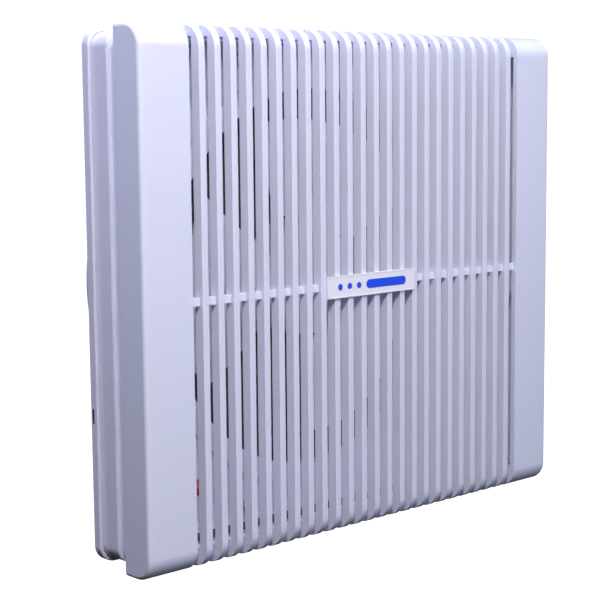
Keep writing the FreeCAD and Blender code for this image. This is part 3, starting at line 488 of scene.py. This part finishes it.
def carve(obj, *cutters):
    """Cut pieces out of an object and remove them."""
    for cutter in cutters:
        cut = obj.modifiers.new("cut", "BOOLEAN")
        cut.operation = "DIFFERENCE"
        cut.solver = "EXACT"
        cut.object = cutter
        bpy.context.view_layer.update()
        apply_modifiers(obj)
        bpy.data.objects.remove(cutter)
    obj.data.polygons.foreach_set("use_smooth", [True] * len(obj.data.polygons))
    obj.data.set_sharp_from_angle(angle=SHARP_ANGLE)


def soften(obj, width, limit=40):
    """Give an object's sharp corners a small radius."""
    bevel = obj.modifiers.new("soft_edges", "BEVEL")
    bevel.width = width
    bevel.segments = 2
    bevel.limit_method = "ANGLE"
    bevel.angle_limit = math.radians(limit)
    bevel.harden_normals = True
    return obj


def gather(name, parts):
    """Put the parts' final meshes into one object."""
    bpy.context.view_layer.update()
    graph = bpy.context.evaluated_depsgraph_get()
    shape = bmesh.new()
    for part in parts:
        mesh = bpy.data.meshes.new_from_object(part.evaluated_get(graph))
        shape.from_mesh(mesh)
        bpy.data.meshes.remove(mesh)
    for part in parts:
        bpy.data.objects.remove(part)
    mesh = bpy.data.meshes.new(name)
    shape.to_mesh(mesh)
    shape.free()
    mesh.set_sharp_from_angle(angle=SHARP_ANGLE)
    made = bpy.data.objects.new(name, mesh)
    bpy.context.collection.objects.link(made)
    return made


def dress(obj, slot, body, *nodes):
    """Give a piece even normals, its material and its body, and hide the nodes that it stands for."""
    even = obj.modifiers.new("even_normals", "WEIGHTED_NORMAL")
    even.keep_sharp = True
    obj.data.materials.clear()
    obj.data.materials.append(MATERIALS[slot])
    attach(obj, body)
    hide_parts(*nodes)


# ---------------------------------------------------------------- cover

def cover_outline():
    """Side outline of the cover as (y, z) points: flat front, rounded at the top and the foot."""
    middle_y = COVER_FRONT + COVER_ROUND
    middle_z = COVER_Z - COVER_ROUND
    points = [(COVER_REAR, -COVER_Z)]
    points += arc(middle_y, -middle_z, COVER_ROUND, 270, 180, 16)
    points += arc(middle_y, middle_z, COVER_ROUND, 180, 90, 16)
    return points + [(COVER_REAR, COVER_Z)]


def make_cover_shell():
    """The cover's frame: two side panels and the thin walls over and under the grille."""
    shell = prism("cover_shell", cover_outline(), X, -COVER_X, COVER_X)

    def not_rear(edge):
        return min(v.co[Y] for v in edge.verts) < COVER_REAR - 0.1 * MM

    shell = round_ends(shell, X, COVER_EDGE, 6, not_rear)
    inner_z = COVER_Z - SHELL
    behind = (RAIL_FRONT - MM, COVER_REAR + MM)
    hollow_x = (FIELD_X + SHELL, COVER_X - SHELL)
    deep_z = COVER_Z - COVER_ROUND
    cutters = [
        block("field", (-FIELD_X, FIELD_X), (COVER_FRONT - 5 * MM, RAIL_FRONT), (-2 * COVER_Z, 2 * COVER_Z)),
        block("inside", (-FIELD_X, FIELD_X), behind, (-inner_z, inner_z)),
        block("rear", (-hollow_x[0], hollow_x[0]), (RAIL_REAR, behind[1]), (-inner_z, inner_z)),
    ]
    for side in (-1, 1):
        x = tuple(sorted((side * hollow_x[0], side * hollow_x[1])))
        cutters.append(block("hollow", x, (RAIL_FRONT, behind[1]), (-inner_z, inner_z)))
        cutters.append(block("deeper", x, (COVER_FRONT + SHELL, RAIL_FRONT + MM), (-deep_z, deep_z)))
        inner_x = tuple(sorted((side * (FIELD_X - MM), side * (hollow_x[0] + MM))))
        cutters.append(block("reveal", inner_x, (COVER_FRONT + SHELL, RAIL_FRONT - MM), (-deep_z, deep_z)))
    carve(shell, *cutters)
    soften(shell, 0.35 * MM, 60)
    dress(shell, "cover_white", "cover", "cover_frame")


def slat_outline():
    """Side outline of one slat as (y, z) points: an upright bar with an arm at the top and at the foot."""
    middle_y = COVER_FRONT + COVER_ROUND
    middle_z = COVER_Z - COVER_ROUND
    back = COVER_FRONT + SLAT_DEPTH
    points = [(RAIL_FRONT, -COVER_Z)]
    points += arc(middle_y, -middle_z, COVER_ROUND, 270, 180, 16)[1:]
    points += arc(middle_y, middle_z, COVER_ROUND, 180, 90, 16)[:-1]
    points += [(RAIL_FRONT, COVER_Z), (RAIL_FRONT, COVER_Z - ARM_TOP), (back, COVER_Z - ARM_TOP)]
    return points + [(back, ARM_FOOT - COVER_Z), (RAIL_FRONT, ARM_FOOT - COVER_Z)]


def make_grille():
    """The slats with their soft edges, the rails behind their ends and the tie bar across the middle."""
    parts = []
    outline = slat_outline()
    first = -FIELD_X + SLAT_PITCH - SLAT_WIDTH
    for n in range(SLAT_COUNT):
        left = first + n * SLAT_PITCH
        parts.append(round_ends(prism("slat", outline, X, left, left + SLAT_WIDTH), X, SLAT_EDGE, 3))
    wide = (-FIELD_X, FIELD_X)
    rails = (RAIL_FRONT, RAIL_REAR)
    inner = COVER_Z - SHELL
    parts.append(soften(block("rail", wide, rails, (COVER_Z - ARM_TOP, inner)), 0.3 * MM))
    parts.append(soften(block("rail", wide, rails, (-inner, ARM_FOOT - COVER_Z)), 0.3 * MM))
    tie = (COVER_FRONT + TIE_RECESS, COVER_FRONT + SLAT_DEPTH)
    parts.append(soften(block("tie", wide, tie, (-TIE_HALF, TIE_HALF)), 0.15 * MM))
    dress(gather("slats", parts), "cover_white", "cover", "slat_grille")


def make_badge():
    """The plate in the middle of the slats with its raised border and a plain mark."""
    half_x, half_z = high("badge_plate", X), high("badge_plate", Z)
    front = low("badge_plate", Y)
    plate = block("badge", (-half_x, half_x), (front, COVER_FRONT), (-half_z, half_z))
    inner_x, inner_z = half_x - BADGE_RIM, half_z - BADGE_RIM
    pocket_y = (front - MM, front + BADGE_RECESS)
    carve(plate, block("pocket", (-inner_x, inner_x), pocket_y, (-inner_z, inner_z)))
    soften(plate, 0.1 * MM)
    pegs = [prism("peg", circle(PEG_RADIUS, 24, side * 2 * SLAT_PITCH), Y, COVER_FRONT - 0.2 * MM,
                  COVER_FRONT + TIE_RECESS) for side in (-1, 1)]
    dress(gather("badge", [plate, *pegs]), "badge_white", "cover", "badge_plate")

    back, face = high("badge_inlay", Y), low("badge_inlay", Y)
    outline = arc(MARK_RIGHT, 0, MARK_ROUND, -90, 90) + arc(MARK_LEFT, 0, MARK_ROUND, 90, 270)
    marks = [prism("mark", outline, Y, face, back)]
    for x in DOTS:
        marks.append(prism("mark", circle(DOT_RADIUS, 32, x), Y, face, back))
    marks = [soften(mark, 0.1 * MM) for mark in marks]
    dress(gather("badge_mark", marks), "badge_blue", "cover", "badge_inlay")


# ---------------------------------------------------------------- casing and wall side

def edge_section(outer, inner, front, rear, radius):
    """Closed (inset, y) section of a wall whose front edge is rounded on both sides."""
    points = [(outer, rear)]
    points += arc(outer + radius, front + radius, radius, 180, 270, 6)
    points += arc(inner - radius, front + radius, radius, 270, 360, 6)
    return points + [(inner, rear)]


def make_casing():
    """The stepped casing: neck, box, back panel with its round opening, lip and screw bosses."""
    inner = NECK_INSET + CASING_WALL
    soft = 0.8 * MM
    section = [(0.0, BOX_REAR)]
    section += arc(soft, BOX_FRONT + soft, soft, 180, 270, 6)
    section += edge_section(NECK_INSET, inner, NECK_FRONT, BOX_FRONT, 0.6 * MM)
    section += [(inner, BOX_REAR)]
    walls = sweep_frame("casing_walls", BOX_X, BOX_Z, BOX_CORNER, section)
    outline = rounded_rectangle(BOX_X - inner, BOX_Z - inner, BOX_CORNER - CORNER_SHARE * inner)
    panel = prism("panel", outline, Y, PANEL_FRONT, BOX_REAR)
    through = (PANEL_FRONT - MM, BOX_REAR + MM)
    carve(panel, prism("opening", circle(SLEEVE_BORE - 0.5 * MM, LATHE_STEPS), Y, *through))
    boss_front = PANEL_FRONT - BOSS_HEIGHT
    boss = [(BOSS_BORE, PANEL_FRONT), (BOSS_BORE, boss_front + BOSS_EDGE),
            (BOSS_BORE + BOSS_EDGE, boss_front), (BOSS_RADIUS - BOSS_EDGE, boss_front),
            (BOSS_RADIUS, boss_front + BOSS_EDGE), (BOSS_RADIUS, PANEL_FRONT)]
    bosses = []
    for x in (-1, 1):
        for z in (-1, 1):
            hole = circle(WALL_SCREW_HOLE, 24, x * WALL_SCREWS[0], z * WALL_SCREWS[1])
            carve(panel, prism("hole", hole, Y, *through))
            bosses.append(lathe("boss", boss, 32, x * CASING_SCREWS[0], z * CASING_SCREWS[1]))
    lip_top = high("front_seal", Z) + 0.1 * MM
    lip = block("lip", (3 * MM - BOX_X, BOX_X - 3 * MM), (NECK_FRONT, NECK_FRONT + 2 * MM),
                (NECK_INSET + MM - BOX_Z, lip_top))
    soften(lip, 0.3 * MM)
    carve(panel, prism("entry", circle(ENTRY_RADIUS, 32, *ENTRY), Y, *through))
    dress(gather("casing", [walls, panel, lip, *bosses]), "casing_white", "casing", "rear_casing")


def make_wall_plate():
    """The plate on the wall: a low rim with its release slot, round a web with the sleeve's opening."""
    rim = PLATE_X - BOX_X - SEAT_GAP
    walls = sweep_frame("plate_rim", PLATE_X, PLATE_Z, PLATE_CORNER,
                        edge_section(0.0, rim, PLATE_FRONT, 0.0, 0.6 * MM))
    outline = rounded_rectangle(PLATE_X - rim, PLATE_Z - rim, PLATE_CORNER - CORNER_SHARE * rim)
    web = prism("web", outline, Y, -PLATE_WEB, 0.0)
    through = (-2 * PLATE_WEB, PLATE_WEB)
    carve(web, prism("opening", circle(SLEEVE_ROOT + 0.1 * MM, LATHE_STEPS), Y, *through))
    for x in (-1, 1):
        for z in (-1, 1):
            for radius, (at_x, at_z) in ((WALL_SCREW_HOLE, WALL_SCREWS), (CASING_SCREW_HOLE, CASING_SCREWS)):
                carve(web, prism("hole", circle(radius, 24, x * at_x, z * at_z), Y, *through))
    half = ENTRY_WINDOW / 2
    window_x, window_z = ((middle - half, middle + half) for middle in ENTRY)
    carve(web, block("window", window_x, through, window_z))
    slot_z = (ENTRY[1] - SLOT_HALF, ENTRY[1] + SLOT_HALF)
    carve(walls, block("slot", (-2 * PLATE_X, rim - PLATE_X), SLOT_Y, slot_z))
    dress(gather("plate", [walls, web]), "casing_white", "casing", "wall_plate")


def make_bell_mouth():
    """The rounded lip of the round opening and the spigot behind it."""
    outer = high("bell_mouth", X)
    front, rear = low("bell_mouth", Y), high("bell_mouth", Y)
    lip = 1.9 * MM
    spigot = SLEEVE_BORE - 0.6 * MM
    profile = arc(MOUTH_RADIUS + lip, front + lip, lip, 180, 270, 8)
    profile += arc(outer - lip, front + lip, lip, 270, 360, 8)
    profile += [(outer, PANEL_FRONT), (spigot, PANEL_FRONT), (spigot, rear), (MOUTH_RADIUS, rear)]
    dress(lathe("mouth_ring", profile), "casing_white", "casing", "bell_mouth")


def make_sleeve():
    """The round sleeve through the wall, with the foam ring behind the wall plate."""
    front, rear = low("wall_sleeve", Y), high("wall_sleeve", Y)
    soft = 0.6 * MM
    profile = [(SLEEVE_BORE, front), (SLEEVE_ROOT, front), (SLEEVE_ROOT, ROOT_REAR),
               (SLEEVE_OUTER, ROOT_REAR), (SLEEVE_OUTER, rear - soft),
               (SLEEVE_OUTER - soft, rear), (SLEEVE_BORE + soft, rear), (SLEEVE_BORE, rear - soft)]
    dress(lathe("sleeve", profile), "sleeve_white", "casing", "wall_sleeve")

    outer, seal_rear = high("sleeve_seal", X), high("sleeve_seal", Y)
    bulge = 1.5 * MM
    profile = [(SLEEVE_ROOT, 0.0), (outer - bulge, 0.0)]
    profile += arc(outer - bulge, bulge, bulge, 270, 360, 5)[1:]
    profile += arc(outer - bulge, seal_rear - bulge, bulge, 0, 90, 5)
    profile += [(SLEEVE_ROOT, seal_rear)]
    dress(lathe("foam_ring", profile), "foam_black", "casing", "sleeve_seal")


# ---------------------------------------------------------------- fan

def blade_point(share, run, side, phase):
    """A point of a blade: share from root to tip, run from -0.5 to 0.5 across, side 1 or -1 of its skin."""
    radius = BLADE_ROOT + (FAN_TIP - BLADE_ROOT) * share
    chord = CHORD_ROOT + (CHORD_TIP - CHORD_ROOT) * share
    pitch = math.asin(BLADE_RISE / chord)
    bulge = 1 - 4 * run * run
    thick = BLADE_THICK - BLADE_THINNING * share
    lift = BLADE_CAMBER * chord * bulge + side * math.sqrt(max(bulge, 0.0)) * thick / 2
    across = run * chord * math.cos(pitch) + lift * math.sin(pitch)
    depth = run * chord * math.sin(pitch) - lift * math.cos(pitch)
    lean = phase - BLADE_LEAN * share
    return Vector((math.cos(lean) * radius - math.sin(lean) * across, BLADE_MIDDLE + depth,
                   math.sin(lean) * radius + math.cos(lean) * across))


def blade_reach(run, phase):
    """The share at which a blade's line across meets the tip circle."""
    near, far = 0.0, 1.0
    for _ in range(24):
        share = (near + far) / 2
        point = blade_point(share, run, 1, phase)
        if math.hypot(point.x, point.z) > FAN_TIP:
            far = share
        else:
            near = share
    return near


def make_blade(phase):
    """A cambered blade, in rings from its root to the tip circle."""
    steps_out, steps_across = 14, 28
    runs = [-0.5 * math.cos(math.pi * n / steps_across) for n in range(steps_across + 1)]
    skin = [(run, 1) for run in runs] + [(run, -1) for run in reversed(runs[1:-1])]
    reach = [blade_reach(run, phase) for run, _ in skin]
    rings = []
    for n in range(steps_out + 1):
        out = n / steps_out
        rings.append([blade_point(out * far, run, side, phase) for (run, side), far in zip(skin, reach)])
    return from_rings("blade", rings)


def make_fan():
    """Three wide blades on a deep hub, with a domed cap."""
    front, rear = 0.0, 20 * MM
    wall, soft, bore = 2.8 * MM, 2.5 * MM, 2.5 * MM
    profile = [(bore, front)] + arc(HUB_RADIUS - soft, front + soft, soft, 270, 360, 8)
    profile += [(HUB_RADIUS, rear), (HUB_RADIUS - wall, rear)]
    profile += [(HUB_RADIUS - wall, front + wall), (bore, front + wall)]
    hub = lathe("hub", profile, 96)
    blades = [make_blade(math.radians(190 - n * 360 / BLADES)) for n in range(BLADES)]
    dress(gather("fan_wheel", [hub, *blades]), "fan_white", "fan", "impeller")

    radius, cap_front = high("hub_cap", X), low("hub_cap", Y)
    dome, skin, tiny = 2.6 * MM, 1.6 * MM, 0.1 * MM
    profile = [(bore, front), (bore, cap_front + skin), (tiny, cap_front + skin), (tiny, cap_front)]
    profile += arc(radius - dome, cap_front + dome, dome, 270, 360, 8) + [(radius, front)]
    dress(lathe("fan_cap", profile, 72), "fan_white", "fan", "hub_cap")


def make_fan_housing():
    """The shroud round the fan, with the four struts that hold the motor. Its near-black colour is partly
    dark plastic and partly painted shade for the unlit depth behind the round opening.
    """
    front, rear = low("fan_housing", Y), high("fan_housing", Y)
    outer = high("fan_housing", X)
    bore, wall, soft = 92.5 * MM, 2 * MM, 1 * MM
    plate_radius, plate_bore, plate_thick = 25 * MM, 5 * MM, 3 * MM
    strut_root, strut_half = 22 * MM, 4 * MM
    profile = arc(bore + soft, front + soft, soft, 180, 270, 5)
    profile += arc(outer - soft, front + soft, soft, 270, 360, 5)
    profile += [(outer, rear), (outer - wall, rear), (outer - wall, front + wall),
                (bore + wall, front + wall), (bore + wall, rear), (bore, rear)]
    ring = lathe("shroud", profile)
    plate_front = rear - plate_thick
    plate = prism("motor_plate", circle(plate_radius, 72), Y, plate_front, rear)
    carve(plate, prism("bore", circle(plate_bore, 32), Y, plate_front - MM, rear + MM))
    parts = [ring, soften(plate, 0.3 * MM)]
    for n in range(4):
        strut = block("strut", (strut_root, bore + MM), (plate_front, rear), (-strut_half, strut_half))
        strut.data.transform(Matrix.Rotation(n * math.pi / 2, 4, "Y"))
        parts.append(soften(strut, 0.4 * MM))
    dress(gather("shroud", parts), "housing_grey", "casing", "fan_housing")


# ---------------------------------------------------------------- nodes that keep their CAD shape

def dress_frame_nodes():
    """Give each CAD node that stays in view its material and clean shading."""
    slots = {part["node"]: part["material_slot"] for part in frame["record"]["subparts"]}
    for node, obj in NODES.items():
        if obj.hide_render:
            continue
        obj.data.materials.clear()
        obj.data.materials.append(MATERIALS[slots[node]])
        obj.data.set_sharp_from_angle(angle=SHARP_ANGLE)


# ---------------------------------------------------------------- studio

def aim(obj, target, roll=0.0):
    """Point an object's -Z at a place, with a roll in degrees."""
    direction = Vector(target) - obj.location
    turn = direction.to_track_quat("-Z", "Y")
    obj.rotation_mode = "QUATERNION"
    obj.rotation_quaternion = turn @ Quaternion((0, 0, 1), math.radians(roll))


def around(azimuth, elevation, distance):
    """A place at a distance from the cover. Azimuth 0 is straight in front and grows to the right."""
    turn, rise = math.radians(azimuth), math.radians(elevation)
    flat = distance * math.cos(rise)
    return (flat * math.sin(turn), -0.04 - flat * math.cos(turn), distance * math.sin(rise))


def softbox(name, place, target, size, power, colour=(1, 1, 1)):
    light = bpy.data.lights.new(name, "AREA")
    light.size = size
    light.energy = power
    light.color = colour
    made = bpy.data.objects.new(name, light)
    made.location = place
    bpy.context.collection.objects.link(made)
    aim(made, target)


def make_paper():
    """Pale seamless paper, a bowl round the unit. It lights nothing and shows in no reflection."""
    floor_z, radius, curve, steps = -0.62, 2.4, 0.9, 96
    outline = [(0.3, floor_z)] + arc(radius - curve, floor_z + curve, curve, 270, 360, 24) + [(radius, 3.4)]
    shape = bmesh.new()
    turns = [2 * math.pi * n / steps for n in range(steps)]
    rows = [[shape.verts.new((r * math.cos(a), r * math.sin(a), z)) for r, z in outline] for a in turns]
    for n in range(steps):
        for first in range(len(outline) - 1):
            second = first + 1
            shape.faces.new((rows[n][first], rows[n - 1][first], rows[n - 1][second], rows[n][second]))
    shape.faces.new([row[0] for row in rows])
    mesh = bpy.data.meshes.new("paper")
    shape.to_mesh(mesh)
    shape.free()
    mesh.polygons.foreach_set("use_smooth", [True] * len(mesh.polygons))
    paper = bpy.data.objects.new("paper", mesh)
    bpy.context.collection.objects.link(paper)
    paper.data.materials.append(studio_paper("paper", (0.9, 0.9, 0.91)))
    paper.visible_diffuse = False
    paper.visible_glossy = False


def make_world():
    world = bpy.data.worlds.new("studio")
    world.use_nodes = True
    background = world.node_tree.nodes["Background"]
    background.inputs["Color"].default_value = (0.97, 0.98, 1.0, 1)
    background.inputs["Strength"].default_value = 0.03
    bpy.context.scene.world = world


def make_lights():
    """Soft boxes. The key stands over the camera's place, so that it lights what shows between the slats."""
    middle = (0, -0.04, 0)
    upper = (0, -0.04, 0.06)
    softbox("key", (*CAMERA_PLACE[:2], 0.70), middle, 0.09, 8.3, (1, 0.90, 0.88))
    softbox("near", around(VIEW_AZIMUTH, 60, 0.62), upper, 0.3, 0.55)
    softbox("top", around(-20, 88, 0.9), middle, 0.5, 4.2, (1, 0.99, 0.87))
    softbox("under", around(VIEW_AZIMUTH, -60, 1.0), middle, 0.5, 0.5, (0.9, 0.92, 1))
    softbox("right", around(10, 25, 1.1), middle, 0.22, 6.2, (0.75, 0.80, 1))
    softbox("left", around(-110, 50, 0.8), middle, 0.5, 2.4, (0.37, 0.52, 1))
    softbox("rear", (0.5, 1.2, 0.7), middle, 0.8, 10)


def make_camera():
    camera = bpy.data.objects.new("camera", bpy.data.cameras.new("camera"))
    camera.data.sensor_width = 36
    camera.data.lens = 89.448
    camera.location = CAMERA_PLACE
    bpy.context.collection.objects.link(camera)
    aim(camera, (-0.0518, -0.0475, -0.0046), -0.526)
    bpy.context.scene.camera = camera
    bpy.context.scene.view_settings.view_transform = "Standard"


make_cover_shell()
make_grille()
make_badge()
make_casing()
make_wall_plate()
make_bell_mouth()
make_sleeve()
make_fan()
make_fan_housing()
dress_frame_nodes()
make_paper()
make_world()
make_lights()
make_camera()
